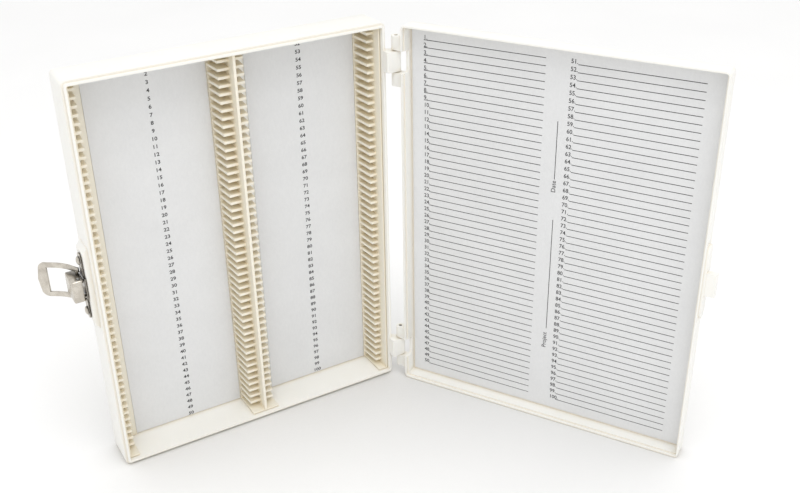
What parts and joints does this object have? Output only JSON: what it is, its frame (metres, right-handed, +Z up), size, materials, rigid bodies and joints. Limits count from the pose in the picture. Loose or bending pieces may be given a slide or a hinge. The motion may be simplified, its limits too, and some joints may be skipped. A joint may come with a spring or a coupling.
{
  "type": "microscope slide storage box",
  "caption": "Hinged moulded-plastic storage box for microscope slides, with slotted racks, number sheets in the tray, a ruled index sheet in the lid and a side draw latch, open at rest",
  "frame": {"origin": "centre of the tray's bottom end face, on which the open box stands", "axes": "+Z is up along the box's long side, +X runs across the tray from the latch side to the hinge side, and the tray opens towards -Y"},
  "size_m": [0.2766, 0.1803, 0.21],
  "materials": {
    "white_plastic": "satin white ABS",
    "ivory_plastic": "satin ivory polystyrene",
    "paper": "matt printed paper",
    "nickel_plate": "bright nickel plate on steel",
    "pin_steel": "drawn steel wire"
  },
  "bodies": {
    "base": {"base_tray": "white_plastic", "rack_latch_side": "ivory_plastic", "rack_centre": "ivory_plastic", "rack_hinge_side": "ivory_plastic", "number_sheet_left": "paper", "number_sheet_right": "paper", "hinge_pin_upper": "pin_steel", "hinge_pin_lower": "pin_steel", "latch_plate": "nickel_plate", "latch_rivet_upper": "nickel_plate", "latch_rivet_lower": "nickel_plate", "latch_lever_pin": "pin_steel"},
    "lid": {"lid": "white_plastic", "index_sheet": "paper"},
    "latch_lever": {"latch_lever": "nickel_plate"},
    "latch_bail": {"latch_bail": "nickel_plate"}
  },
  "joints": [
    {"name": "lid_hinge", "type": "hinge", "parent": "base", "child": "lid", "pos_m": [0.0847, -0.01416, 0.105], "axis": [0, 0, 1], "range_deg": [-121, 59]},
    {"name": "latch_lever_hinge", "type": "hinge", "parent": "base", "child": "latch_lever", "pos_m": [-0.0865, -0.004, 0.105], "axis": [0, 0, 1], "range_deg": [0, 10]},
    {"name": "latch_bail_hinge", "type": "hinge", "parent": "latch_lever", "child": "latch_bail", "pos_m": [-0.0854, 0.0015, 0.105], "axis": [0, 0, -1], "range_deg": [-137, 42]}
  ]
}
